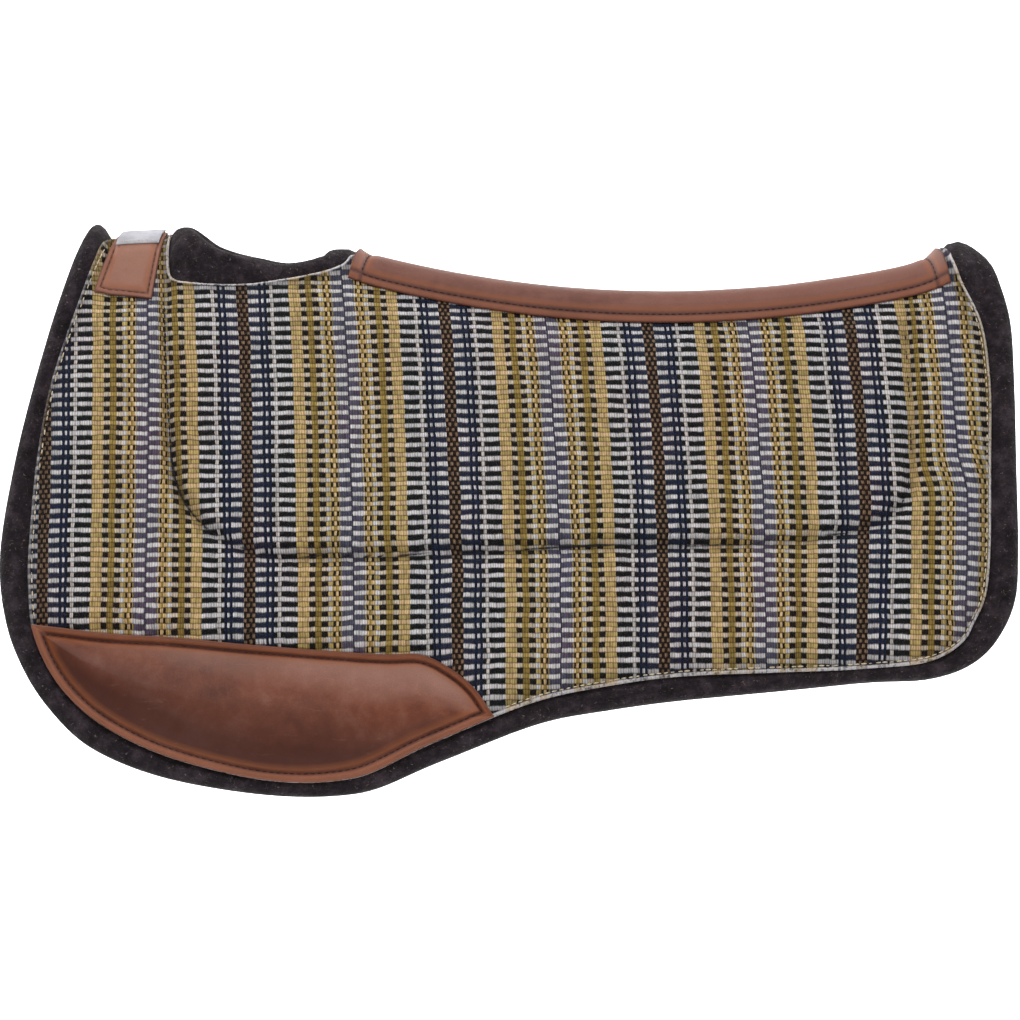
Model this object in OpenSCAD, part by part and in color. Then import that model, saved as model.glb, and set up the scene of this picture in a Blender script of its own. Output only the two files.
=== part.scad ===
// Western saddle pad: thick wool felt with a woven cover, leather over the spine, leather wear
// patches low at the front and a cut-out over the withers.
// Frame: the origin is on the underside of the felt at the lowest point of the topline.
// +X runs to the rear, -Y is the horse's left side, +Z is up. Lengths are in millimetres.

/* [Overall] */
// Length from the front edge to the rear edge
pad_length = 810; // [700:5:980]
// Drop of the front part, over the surface from the spine to the lowest edge
front_drop = 471; // [390:1:560]
// Drop of the rear part, over the surface from the spine to the lowest edge
rear_drop = 357; // [290:1:430]
// Lean of each side from upright, just below the spine
side_lean = 26; // [18:1:34]
// Radius of the bulge of each side, seen along the spine
side_radius = 2400; // [1200:50:4000]

/* [Topline] */
// Radius of the dip that the saddle sits in
dip_radius = 936; // [700:2:1300]
// Radius of the rise over the withers
hump_radius = 560; // [400:5:900]
// Distance from the lowest point of the topline forward to where the rise begins
hump_start = 250; // [150:5:320]
// Outer radius of the fold along the spine
spine_radius = 30; // [28:1:40]

/* [Layers] */
// Thickness of the felt
felt_thick = 19; // [12:0.5:25]
// Thickness of the woven cover
cover_thick = 2; // [1:0.1:4]
// Thickness of the leather pieces
leather_thick = 2.4; // [1.2:0.1:4]
// Thickness of the padding at the middle of each wear leather
wear_fill = 4; // [1:0.5:10]
// Thickness of the tape that joins the two halves under the spine leather
tape_thick = 1; // [0.5:0.1:2]
// Thickness of the label
label_thick = 1; // [0.5:0.1:2]
// Gap left between two layers that lie on each other
layer_gap = 0.4; // [0.3:0.05:0.8]

/* [Borders] */
// Usual width of felt showing past the cover
cover_border = 20; // [14:1:28]
// Width of felt showing past the cover below the cut-out
cutout_border = 27; // [12:1:34]

/* [Wither cut-out] */
// Distance from the front edge at the spine to the cut-out
bridge_length = 76; // [60:1:100]
// Length of the cut-out along the spine
cutout_length = 128; // [100:1:180]
// Depth of the cut-out down each side, over the surface
cutout_drop = 30; // [16:1:40]

/* [Leather] */
// Width of the spine leather on each side of the spine, over the surface
spine_leather_width = 35; // [26:1:55]
// Length of felt left bare behind the spine leather
spine_leather_rear = 38; // [20:1:60]
// Width on each side of the leather patch over the front bridge, over the surface
patch_width = 63; // [40:1:75]
// Distance from the leather edge to its stitch line
stitch_inset = 6; // [4:0.5:10]
// Distance from the edge of the front patch to its stitch line
patch_inset = 4; // [3:0.5:8]
// Length of the label along the spine
label_length = 35; // [26:1:40]
// Width of the label over the spine
label_width = 46; // [30:1:56]

/* [Threads] */
// Width of the sewing thread as it lies
thread_width = 1.4; // [0.8:0.1:2.5]
// Height of the sewing thread as it lies
thread_height = 0.7; // [0.4:0.1:1.5]

/* [Movement] */
// Height of the fold axis above the origin
fold_z = 42; // [30:1:60]
// How far the right half opens from rest, in degrees
fold_open = 35; // [10:1:45]
// How far the right half closes from rest, in degrees
fold_close = 25; // [10:1:30]
// Room between the two halves where they pass the fold axis
seam_gap = 0.8; // [0.5:0.1:3]

/* [Hidden] */
// lengths that the outline below was drawn at, and its x at the lowest point of the topline,
// which is 0 in the finished part
drawn_length = 810;
drawn_front_drop = 471;
drawn_rear_drop = 357;
lowest_x = 45;
crown_turn = 90 - side_lean;
crown_arc = spine_radius * crown_turn * PI / 180;
front_x = -422 * pad_length / drawn_length;
rear_x = 306 * pad_length / drawn_length;
cutout_x = front_x + bridge_length;
cutout_end = cutout_x + cutout_length;
strip_x = cutout_end + 16;
strip_end = rear_x - spine_leather_rear;
cover_base = layer_gap;
cover_top = cover_base + cover_thick;
trim_base = cover_top + layer_gap;
strip_base = trim_base + tape_thick + layer_gap;
strip_top = strip_base + leather_thick;
patch_top = trim_base + leather_thick;

// felt outline of one side as [x, distance from the spine], from the front of the spine
// down the front edge, along the lower edge and up the rear edge to the spine
rim = [[-422, 0], [-435, 29], [-449, 74], [-465, 139], [-477, 199], [-485, 260], [-483, 305],
  [-471, 351], [-446, 398], [-407, 439], [-346, 465], [-269, 471], [-200, 455], [-135, 415],
  [-60, 374], [0, 357], [60, 348], [130, 345], [200, 347], [250, 354], [283, 351], [305, 337],
  [320, 310], [324, 270], [325, 200], [326, 130], [325, 75], [316, 31], [306, 0]];
// width of the felt that shows past the cover at each of those points
border = [24, 23, 20, 17, 20, 24, 22, 17, 16, 18, 15, 10, 10, 13, 15, 17, 17, 13, 9, 12, 19, 25,
  25, 23, 21, 20, 25, 34, 37];
rim_corner = 8;
rim_rear_corner = 21;
rim_last = 28;

// line of the quilting that fixes the cover to the felt, in the same form
quilt = [[-359, 66], [-357, 110], [-353, 170], [-346, 226], [-326, 260], [-298, 276],
  [-262, 281], [-200, 267], [-100, 241], [-10, 227], [80, 225], [165, 226], [205, 223],
  [227, 213], [238, 196], [241, 150], [240, 100], [239, 58]];

// upper edge of the wear leather between its two tips, in the same form
wear_edge = [[-400, 349], [-350, 354], [-295, 356], [-240, 352], [-183, 342], [-152, 335],
  [-130, 340], [-109, 353]];
wear_from = 6.8;
wear_to = 13.65;

rows = [0, 0.018, 0.036, 0.054, 0.072, 0.092, 0.13, 0.2, 0.3, 0.42, 0.54, 0.66, 0.78, 0.89, 1];
columns = 40;

function mix(a, b, t) = a + (b - a) * t;
function unit(v) = v / norm(v);
function smooth(t) = let (c = max(0, min(1, t))) c * c * (3 - 2 * c);
function drop_scale(x) =
  mix(front_drop / drawn_front_drop, rear_drop / drawn_rear_drop, smooth((x + 250) / 300));
function place(p) = [p.x * pad_length / drawn_length, p.y * drop_scale(p.x)];

// curve through a list of points, t counted in points
function spline(p, t) =
  let (n = len(p) - 1, k = max(0, min(n - 1, floor(t))), f = t - k,
    a = k > 0 ? p[k - 1] : 2 * p[0] - p[1], b = p[k], c = p[k + 1],
    d = k + 2 <= n ? p[k + 2] : 2 * p[n] - p[n - 1])
  b + 0.5 * f * (c - a + f * (2 * a - 5 * b + 4 * c - d + f * (3 * (b - c) + d - a)));
function slope(p, t) = unit(spline(p, t + 0.02) - spline(p, t - 0.02));

// height of the felt's outer surface at the spine
function topline(x) =
  let (d = x - lowest_x, z = hump_start * hump_start / 2 / dip_radius,
    run = hump_start * hump_radius / dip_radius, e = -d - hump_start - run)
  felt_thick + (d > -hump_start ? d * d / 2 / dip_radius
    : z + run * run / 2 / hump_radius - e * e / 2 / hump_radius);

// point at the outline's x, at a distance s over the surface from the spine and h above the
// felt; s is positive on the left side
function skin(x, s, h) =
  let (a = abs(s), r = spine_radius + h, over = a > crown_arc,
    t = over ? crown_turn + (a - crown_arc) / side_radius * 180 / PI
      : a / spine_radius * 180 / PI,
    y = over ? r * sin(crown_turn) + (side_radius + h) * (sin(t) - sin(crown_turn))
      : r * sin(t),
    z = over ? r * cos(crown_turn) + (side_radius + h) * (cos(t) - cos(crown_turn))
      : r * cos(t))
  [x - lowest_x, s < 0 ? y : -y, topline(x) + z - spine_radius];

// distance over the surface at which a layer h above the felt is y out from the middle
function reach(y, h) =
  let (r = spine_radius + h, edge = r * sin(crown_turn))
  y < edge ? spine_radius * asin(y / r) * PI / 180
    : crown_arc + side_radius * PI / 180
      * (asin((y - edge) / (side_radius + h) + sin(crown_turn)) - crown_turn);

// room that each half leaves at the middle, so that the halves clear each other as they turn,
// found again from the height where the last try met the layer
function seam_room(z) =
  seam_gap + (z > fold_z ? (z - fold_z) * tan(fold_open / 2) : (fold_z - z) * tan(fold_close / 2));
function seam(x, h, z, tries = 6) =
  let (s = reach(seam_room(is_undef(z) ? topline(x) + h : z), h))
  tries == 0 ? s : seam(x, h, skin(x, s, h).z, tries - 1);

function rim_at(t) = place(spline(rim, t));
function inset_rim(t, more) =
  let (p = rim_at(t), q = unit(rim_at(t + 0.03) - rim_at(t - 0.03)), n = [q.y, -q.x])
  p + n * (spline(border, t) * cover_border / 20 + more);
// the two edges of the cover are slid up until both end at the spine
slide = [inset_rim(0, 0).y, inset_rim(rim_last, 0).y];
function rim_in(t, more = 0) = inset_rim(t, more)
  - [0, slide[0] * max(0, 1 - t / rim_corner)
    + slide[1] * max(0, 1 - (rim_last - t) / (rim_last - rim_rear_corner))];

// upper edge of the felt and of the cover, with the cut-out
function felt_top(t) = let (e = cutout_x, l = cutout_length, d = cutout_drop)
  spline([[front_x, 0], [mix(front_x, e, 0.5), 0], [e - 1, 0], [e + l * 0.03, d * 0.15],
    [e + l * 0.08, d * 0.38], [e + l * 0.15, d * 0.6], [e + l * 0.28, d * 0.78],
    [e + l * 0.48, d * 0.95], [e + l * 0.66, d], [e + l * 0.86, d * 0.6], [e + l, 0],
    for (i = [1:6]) [mix(e + l, rear_x, i / 6), 0]], t * 16);
function cover_top_edge(t) = let (b = cutout_border, e = cutout_x - 11,
    l = cutout_length + 30, d = cutout_drop + b, f = rim_in(0).x, r = rim_in(rim_last).x)
  spline([[f, 0], [mix(f, e, 0.5), 0], [e - 1, 0], [e, d * 0.54], [e + l * 0.02, d * 0.91],
    [e + l * 0.11, d], [e + l * 0.25, d], [e + l * 0.44, d * 0.93], [e + l * 0.68, d * 0.72],
    [e + l * 0.885, d * 0.44], [e + l, d * 0.16],
    for (i = [1:6]) [mix(e + l, r, i / 6), 0]], t * 16);

// patch stretched between four edges
function stretch(top, low, front, rear, u, v) =
  (1 - v) * top(u) + v * low(u) + (1 - u) * front(v) + u * rear(v)
  - (1 - u) * (1 - v) * top(0) - u * (1 - v) * top(1) - (1 - u) * v * low(0) - u * v * low(1);
function spread(u) =
  lookup(u, [[0, 0], [0.18, 0.17], [0.45, 0.28], [0.65, 0.4], [0.8, 0.6], [1, 1]]);

// rows and columns of points of a layer h above the felt; side is 1 left, -1 right
function half_grid(top, rim_fn, h, side) =
  let (clear = function (p) [p.x, max(p.y, seam(p.x, h))],
    edge = function (u) clear(top(u)),
    low = function (u) rim_fn(mix(rim_corner, rim_rear_corner, spread(u))),
    a = edge(0), b = edge(1),
    front = function (v) let (q = rim_fn(rim_corner * v)) [q.x, q.y + a.y * (1 - v)],
    rear = function (v)
      let (q = rim_fn(mix(rim_last, rim_rear_corner, v))) [q.x, q.y + b.y * (1 - v)])
  [for (i = [0:columns]) let (u = i / columns)
    [for (v = rows) let (p = stretch(edge, low, front, rear, u, v)) skin(p.x, side * p.y, h)]];

// closed solid between an outer and an inner grid of points
module slab(outer, inner, side = 1) {
  m = len(outer) - 1;
  n = len(outer[0]) - 1;
  k = (m + 1) * (n + 1);
  at = function (i, j) i * (n + 1) + j;
  quad = function (a, b, c, d) side > 0 ? [[a, b, c], [a, c, d]] : [[a, c, b], [a, d, c]];
  faces = [
    for (i = [0:m - 1]) for (j = [0:n - 1])
      let (a = at(i, j), b = at(i + 1, j), c = at(i + 1, j + 1), d = at(i, j + 1))
        each concat(quad(a, b, c, d), quad(k + d, k + c, k + b, k + a)),
    for (i = [0:m - 1]) each concat(
      quad(at(i + 1, 0), at(i, 0), k + at(i, 0), k + at(i + 1, 0)),
      quad(at(i, n), at(i + 1, n), k + at(i + 1, n), k + at(i, n))),
    for (j = [0:n - 1]) each concat(
      quad(at(0, j), at(0, j + 1), k + at(0, j + 1), k + at(0, j)),
      quad(at(m, j + 1), at(m, j), k + at(m, j), k + at(m, j + 1)))];
  polyhedron([for (g = [outer, inner]) for (c = g) for (p = c) p], faces);
}

// one layer lying on a rectangle of the surface
module band(x_at, s_at, h, thick, nx, ns, side = 1) {
  grid = function (z) [for (i = [0:nx]) [for (j = [0:ns])
    let (s = s_at(j / ns)) skin(x_at(i / nx, s), side * s, z)]];
  slab(grid(h + thick), grid(h), side);
}

// sewing thread along a path of [x, s] points on a layer at h, raised by lift at each point
module thread(path, h, side = 1, lift = []) {
  m = len(path) - 1;
  grid = function (z) [for (i = [0:m])
    let (q = unit(path[min(m, i + 1)] - path[max(0, i - 1)]), n = [q.y, -q.x] * thread_width / 2,
      up = len(lift) > 0 ? lift[i] : 0)
    [for (e = [1, -1]) let (p = path[i] + e * n) skin(p.x, side * p.y, z + up)]];
  slab(grid(h + layer_gap / 2 + thread_height), grid(h + layer_gap / 2), side);
}

module half_felt(side) {
  top = function (t) felt_top(t);
  at = function (t) rim_at(t);
  slab(half_grid(top, at, 0, side), half_grid(top, at, -felt_thick, side), side);
}

module half_cover(side) {
  top = function (t) cover_top_edge(t);
  at = function (t) rim_in(t);
  slab(half_grid(top, at, cover_top, side), half_grid(top, at, cover_base, side), side);
}

// point of the wear leather: u runs between its tips, v from its upper edge to its lower edge
wear_line = concat([rim_in(wear_from)], [for (p = wear_edge) place(p)], [rim_in(wear_to)]);
function wear_at(u, v) =
  mix(spline(wear_line, u * (len(wear_line) - 1)), rim_in(mix(wear_from, wear_to, u)), v);
function puff(u, v) = wear_fill * pow(sin(180 * u), 0.5) * pow(sin(180 * v), 0.7);
wear_steps = [for (i = [0:20]) mix(0.02, 0.98, i / 20)];
wear_rows = [0, 0.1, 0.22, 0.36, 0.5, 0.64, 0.78, 0.9, 1];

module half_wear_leather(side) {
  grid = function (h) [for (u = wear_steps) [for (v = wear_rows)
    let (p = wear_at(u, v)) skin(p.x, side * p.y, trim_base + h + puff(u, v))]];
  slab(grid(leather_thick), grid(0), side);
}

module half_wear_padding(side) {
  grid = function (top) [for (i = [1:len(wear_steps) - 2]) [for (j = [1:len(wear_rows) - 2])
    let (u = wear_steps[i], v = wear_rows[j], p = wear_at(u, v), full = puff(u, v) - layer_gap)
    skin(p.x, side * p.y, trim_base + (top ? max(full, 0.4) : 0))]];
  slab(grid(true), grid(false), side);
}

module half_edge_thread(side) {
  at = function (t) rim_in(t, 3);
  h = cover_top + 0.2;
  thread([for (i = [0:30]) at(mix(0.9, wear_from - 0.2, i / 30))], h, side);
  thread([for (i = [0:66]) at(mix(wear_to + 0.25, 26.4, i / 66))], h, side);
}

module half_wear_thread(side) {
  inset = function (u) stitch_inset / norm(wear_at(u, 1) - wear_at(u, 0));
  h = trim_base + leather_thick;
  for (low = [false, true]) {
    steps = [for (i = [0:24]) mix(0.1, 0.9, i / 24)];
    at = [for (u = steps) low ? 1 - inset(u) : inset(u)];
    thread([for (i = [0:24]) wear_at(steps[i], at[i])], h, side,
      [for (i = [0:24]) puff(steps[i], at[i]) + 0.6]);
  }
}

module half_quilt_thread(side) {
  thread([for (t = [0.3:0.35:16.8]) place(spline(quilt, t))], cover_top + 0.2, side);
}

// x of a line that runs down each side square to the topline
function square_x(x, s) = x + abs(s) * (x - lowest_x) / dip_radius;

module spine_tape() {
  band(function (t, s) square_x(mix(strip_x + 8, strip_end - 6, t), s),
    function (t) mix(-24, 24, t), trim_base, tape_thick, 26, 8);
}

module spine_leather() {
  band(function (t, s) square_x(mix(strip_x, strip_end, t), s),
    function (t) mix(-spine_leather_width, spine_leather_width, t),
    strip_base, leather_thick, 26, 14);
}

module spine_leather_thread() {
  w = spine_leather_width - stitch_inset;
  span = function (t) square_x(mix(strip_x + 4, strip_end - 4, t), w);
  for (side = [1, -1]) thread([for (i = [0:26]) [span(i / 26), w]], strip_top, side);
  for (x = [strip_x + 9, strip_end - 9])
    thread([for (i = [-8:8]) let (s = i / 8 * (w - 2)) [square_x(x, s), s]], strip_top);
}

// point of the patch: u from its front edge to its rear edge, v from -1 to 1 over the spine
function patch_at(u, v) =
  let (s = abs(v) * mix(patch_width, patch_width + 8, u))
  [mix(front_x + 24.5 - 0.29 * s, cutout_x - 13.5 - 0.14 * s, u), sign(v) * s];

module wither_patch() {
  grid = function (h) [for (i = [0:5]) [for (j = [-11:11])
    let (p = patch_at(i / 5, j / 11)) skin(p.x, p.y, h)]];
  slab(grid(patch_top), grid(trim_base));
}

module wither_patch_thread() {
  low = 1 - patch_inset / patch_width;
  top = (label_width / 2 + 3) / patch_width;
  left = function (v) patch_at(0, v) + [patch_inset, 0];
  right = function (v) patch_at(1, v) - [patch_inset, 0];
  for (side = [1, -1]) thread(concat(
    [for (i = [0:5]) left(mix(top, low - 0.05, i / 5))],
    [for (i = [1:4]) mix(left(low), right(low), 0.04 + i * 0.184)],
    [for (i = [5:-1:0]) right(mix(top, low - 0.05, i / 5))]), patch_top, side);
}

label_mid = (patch_at(0, 0).x + patch_at(1, 0).x) / 2;
label_span = min(label_length, patch_at(1, 0).x - patch_at(0, 0).x - 2);

module label() {
  band(function (t, s) label_mid + (t - 0.5) * label_span - 0.18 * abs(s),
    function (t) mix(-label_width / 2, label_width / 2, t), patch_top + layer_gap, label_thick,
    3, 12);
}

module label_thread() {
  h = patch_top + layer_gap + label_thick;
  s = label_width / 2 - 2.5;
  for (side = [1, -1])
    thread([for (i = [-3:3]) [label_mid + i / 3 * (label_span / 2 - 2.5) - 0.18 * s, s]],
      h, side);
}

module left_felt() { color([0.16, 0.13, 0.15]) half_felt(1); }
module right_felt() { color([0.16, 0.13, 0.15]) half_felt(-1); }
module left_cover() { color([0.30, 0.30, 0.42]) half_cover(1); }
module right_cover() { color([0.30, 0.30, 0.42]) half_cover(-1); }
module left_wear_padding() { color([0.80, 0.78, 0.70]) half_wear_padding(1); }
module right_wear_padding() { color([0.80, 0.78, 0.70]) half_wear_padding(-1); }
module left_wear_leather() { color([0.42, 0.22, 0.15]) half_wear_leather(1); }
module right_wear_leather() { color([0.42, 0.22, 0.15]) half_wear_leather(-1); }
module left_edge_stitching() { color([0.85, 0.82, 0.75]) half_edge_thread(1); }
module right_edge_stitching() { color([0.85, 0.82, 0.75]) half_edge_thread(-1); }
module left_wear_stitching() { color([0.25, 0.12, 0.08]) half_wear_thread(1); }
module right_wear_stitching() { color([0.25, 0.12, 0.08]) half_wear_thread(-1); }
module left_quilting() { color([0.20, 0.18, 0.20]) half_quilt_thread(1); }
module right_quilting() { color([0.20, 0.18, 0.20]) half_quilt_thread(-1); }
module spine_joining_tape() { color([0.20, 0.18, 0.18]) spine_tape(); }
module spine_strap() { color([0.50, 0.29, 0.20]) spine_leather(); }
module spine_stitching() { color([0.25, 0.12, 0.08]) spine_leather_thread(); }
module front_patch() { color([0.48, 0.26, 0.18]) wither_patch(); }
module front_patch_stitching() { color([0.25, 0.12, 0.08]) wither_patch_thread(); }
module plain_label() { color([0.92, 0.91, 0.88]) label(); }
module label_stitching() { color([0.75, 0.74, 0.72]) label_thread(); }

left_felt();
right_felt();
left_cover();
right_cover();
left_wear_padding();
right_wear_padding();
left_wear_leather();
right_wear_leather();
left_edge_stitching();
right_edge_stitching();
left_wear_stitching();
right_wear_stitching();
left_quilting();
right_quilting();
spine_joining_tape();
spine_strap();
spine_stitching();
front_patch();
front_patch_stitching();
plain_label();
label_stitching();
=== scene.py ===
import math

import bmesh
import bpy
import numpy as np
from mathutils import Matrix, Vector, noise


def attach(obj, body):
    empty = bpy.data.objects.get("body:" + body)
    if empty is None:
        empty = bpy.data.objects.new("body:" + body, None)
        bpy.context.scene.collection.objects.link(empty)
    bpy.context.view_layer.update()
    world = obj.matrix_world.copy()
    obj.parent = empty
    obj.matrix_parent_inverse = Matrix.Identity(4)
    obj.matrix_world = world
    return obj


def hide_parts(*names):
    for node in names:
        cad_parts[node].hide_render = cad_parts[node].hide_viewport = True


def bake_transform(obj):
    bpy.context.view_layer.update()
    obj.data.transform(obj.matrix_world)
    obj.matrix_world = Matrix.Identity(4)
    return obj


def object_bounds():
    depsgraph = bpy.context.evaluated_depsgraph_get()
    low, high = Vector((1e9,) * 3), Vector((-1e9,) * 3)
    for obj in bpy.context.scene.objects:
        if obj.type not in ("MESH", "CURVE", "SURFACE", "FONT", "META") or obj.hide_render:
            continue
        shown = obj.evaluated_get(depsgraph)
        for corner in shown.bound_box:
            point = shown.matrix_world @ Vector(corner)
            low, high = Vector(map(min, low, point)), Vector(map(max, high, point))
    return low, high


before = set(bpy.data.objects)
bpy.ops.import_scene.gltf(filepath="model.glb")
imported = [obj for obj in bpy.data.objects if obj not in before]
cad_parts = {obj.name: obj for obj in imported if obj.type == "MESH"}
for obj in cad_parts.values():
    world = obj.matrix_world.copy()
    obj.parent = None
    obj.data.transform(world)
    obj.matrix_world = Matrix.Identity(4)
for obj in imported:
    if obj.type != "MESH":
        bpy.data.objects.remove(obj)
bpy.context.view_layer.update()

# sizes in millimetres, the same as in the part's source
pad = {
    "frontX": -422, "rearX": 306, "lowestX": 45,
    "lean": 26, "sideRadius": 2400, "spineRadius": 30, "felt": 19,
    "dipRadius": 936, "humpRadius": 560, "humpStart": 250,
    "coverBorder": 20, "cutoutBorder": 27,
    "bridge": 76, "cutoutLength": 128, "cutoutDrop": 30,
    "coverBase": 0.4, "cover": 2.0, "leather": 2.4,
    "foldZ": 42, "blendWidth": 34,
}
crownTurn = math.radians(90 - pad["lean"])
crownArc = pad["spineRadius"] * crownTurn
cutoutX = pad["frontX"] + pad["bridge"]
cutoutEnd = cutoutX + pad["cutoutLength"]
trimBase = pad["coverBase"] * 2 + pad["cover"]

rim = np.array([
    (-422, 0), (-435, 29), (-449, 74), (-465, 139), (-477, 199), (-485, 260), (-483, 305),
    (-471, 351), (-446, 398), (-407, 439), (-346, 465), (-269, 471), (-200, 455), (-135, 415),
    (-60, 374), (0, 357), (60, 348), (130, 345), (200, 347), (250, 354), (283, 351), (305, 337),
    (320, 310), (324, 270), (325, 200), (326, 130), (325, 75), (316, 31), (306, 0)], float)
border = np.array([24, 23, 20, 17, 20, 24, 22, 17, 16, 18, 15, 10, 10, 13, 15, 17, 17, 13, 9, 12,
                   19, 25, 25, 23, 21, 20, 25, 34, 37], float)[:, None]
quilt = np.array([
    (-359, 66), (-357, 110), (-353, 170), (-346, 226), (-326, 260), (-298, 276), (-262, 281),
    (-200, 267), (-100, 241), (-10, 227), (80, 225), (165, 226), (205, 223), (227, 213),
    (238, 196), (241, 150), (240, 100), (239, 58)], float)
wearEdge = np.array([
    (-400, 349), (-350, 354), (-295, 356), (-240, 352), (-183, 342), (-152, 335), (-130, 340),
    (-109, 353)], float)
wearSpan = (6.8, 13.65)  # where the wear leather starts and ends along the rim
rimCorner, rimRearCorner, rimLast = 8, 21, 28


def smooth(t):
    t = np.clip(t, 0, 1)
    return t * t * (3 - 2 * t)


def bell(t):
    return np.exp(-np.square(t))


def curve(points, t):
    # smooth curve through the points, t counted in points
    n = len(points) - 1
    t = np.atleast_1d(np.asarray(t, float))
    k = np.clip(np.floor(t).astype(int), 0, n - 1)
    ends = np.vstack([2 * points[0] - points[1], points, 2 * points[n] - points[n - 1]])
    a, b, c, d = (ends[k + i] for i in range(4))
    f = (t - k)[:, None]
    return b + 0.5 * f * (c - a + f * (2 * a - 5 * b + 4 * c - d + f * (3 * (b - c) + d - a)))


def topline(x):
    d = x - pad["lowestX"]
    start, dip, hump = pad["humpStart"], pad["dipRadius"], pad["humpRadius"]
    run = start * hump / dip
    e = -d - start - run
    rise = start * start / 2 / dip + run * run / 2 / hump - e * e / 2 / hump
    return pad["felt"] + np.where(d > -start, d * d / 2 / dip, rise)


def skin(x, s, h):
    # point in metres: x along the pad, s over the surface from the spine, h above the felt
    x, s, h = np.broadcast_arrays(*(np.asarray(q, float) for q in (x, s, h)))
    a, r, big = np.abs(s), pad["spineRadius"] + h, pad["sideRadius"] + h
    over = a > crownArc
    t = np.where(over, crownTurn + (a - crownArc) / pad["sideRadius"], a / pad["spineRadius"])
    y = np.where(over, r * math.sin(crownTurn) + big * (np.sin(t) - math.sin(crownTurn)),
                 r * np.sin(t))
    z = np.where(over, r * math.cos(crownTurn) + big * (np.cos(t) - math.cos(crownTurn)),
                 r * np.cos(t))
    return np.stack([x - pad["lowestX"], np.where(s < 0, y, -y),
                     topline(x) + z - pad["spineRadius"]], -1) / 1000


def insetRim(t, more):
    t = np.atleast_1d(np.asarray(t, float))
    q = curve(rim, t + 0.03) - curve(rim, t - 0.03)
    q /= np.linalg.norm(q, axis=1)[:, None]
    wide = curve(border, t) * pad["coverBorder"] / 20 + more
    return curve(rim, t) + np.stack([q[:, 1], -q[:, 0]], 1) * wide


slide = insetRim([0, rimLast], 0)[:, 1]


def coverRim(t, more=0.0):
    # edge of the cover, set in from the rim and slid up until both its ends meet the spine
    points = insetRim(t, more)
    t = np.atleast_1d(np.asarray(t, float))
    points[:, 1] -= slide[0] * np.maximum(0, 1 - t / rimCorner)
    points[:, 1] -= slide[1] * np.maximum(0, 1 - (rimLast - t) / (rimLast - rimRearCorner))
    return points


def topEdge(startX, length, drop, shape, endX, beginX):
    # upper edge of one side, with the dip of the cut-out drawn as shares of its size
    return np.array(
        [(beginX, 0), ((beginX + startX) / 2, 0), (startX - 1, 0)]
        + [(startX + length * a, drop * b) for a, b in shape]
        + [(startX + length + (endX - startX - length) * i / 6, 0) for i in range(1, 7)], float)


feltTop = topEdge(cutoutX, pad["cutoutLength"], pad["cutoutDrop"], (
    (0.03, 0.15), (0.08, 0.38), (0.15, 0.6), (0.28, 0.78), (0.48, 0.95), (0.66, 1), (0.86, 0.6),
    (1, 0)), pad["rearX"], pad["frontX"])
coverEnds = coverRim([0, rimLast])[:, 0]
coverDrop = pad["cutoutDrop"] + pad["cutoutBorder"]
coverTop = topEdge(cutoutX - 11, pad["cutoutLength"] + 30, coverDrop, (
    (0, 0.54), (0.02, 0.91), (0.11, 1), (0.25, 1), (0.44, 0.93), (0.68, 0.72), (0.885, 0.44),
    (1, 0.16)), coverEnds[1], coverEnds[0])


def stretched(top, rimFunction):
    # (u, v) in 0..1 to (x, s) inside the four edges of one side
    knots = ([0, 0.18, 0.45, 0.65, 0.8, 1], [0, 0.17, 0.28, 0.4, 0.6, 1])

    def place(u, v):
        edge = curve(top, u * (len(top) - 1))
        low = rimFunction(rimCorner + (rimRearCorner - rimCorner) * np.interp(u, *knots))
        front = rimFunction(rimCorner * v)
        rear = rimFunction(rimLast + (rimRearCorner - rimLast) * v)
        a, b = top[0], top[-1]
        c, d = rimFunction([rimCorner, rimRearCorner])
        u, v = u[:, None], v[:, None]
        return ((1 - v) * edge + v * low + (1 - u) * front + u * rear - (1 - u) * (1 - v) * a
                - u * (1 - v) * b - (1 - u) * v * c - u * v * d)
    return place


def distance(points, line):
    # distance of each point from a polyline, and how far along it the nearest place is
    a, b = line[:-1], line[1:]
    ab = b - a
    size = np.maximum((ab ** 2).sum(1), 1e-9)
    start = np.concatenate([[0], np.cumsum(np.sqrt(size))])
    best, along = np.empty(len(points)), np.empty(len(points))
    for i in range(0, len(points), 4000):
        p = points[i:i + 4000, None] - a
        t = np.clip((p * ab).sum(2) / size, 0, 1)
        gap = np.linalg.norm(p - t[..., None] * ab, axis=2)
        k = gap.argmin(1)
        rows = np.arange(len(k))
        best[i:i + 4000] = gap[rows, k]
        along[i:i + 4000] = start[k] + t[rows, k] * np.sqrt(size[k])
    return best, along


def lumps(points, size, seed=0.0):
    # gentle unevenness, from -1 to 1, with lumps about size millimetres across
    return np.array([noise.noise(Vector((x / size, s / size, seed))) for x, s in points])


feltRimLine = curve(rim, np.linspace(0, rimLast, 260))
feltHoleLine = curve(feltTop, np.linspace(2, 10, 90))
coverHoleLine = curve(coverTop, np.linspace(2.0, 10.6, 100))
coverRimLine = coverRim(np.linspace(0.4, rimLast - 0.6, 260))
quiltLine = curve(quilt, np.linspace(0, len(quilt) - 1, 220))
wearTop = np.vstack([coverRim([wearSpan[0]]), wearEdge, coverRim([wearSpan[1]])])
wearTopLine = curve(wearTop, np.linspace(0, len(wearTop) - 1, 120))
wearLowLine = coverRim(np.linspace(*wearSpan, 160))


def wearDepth(points):
    # how deep a point is under the wear leather: negative above its upper edge
    top = np.interp(points[:, 0], wearTopLine[:, 0], wearTopLine[:, 1], left=1e4, right=1e4)
    return points[:, 1] - top


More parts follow.
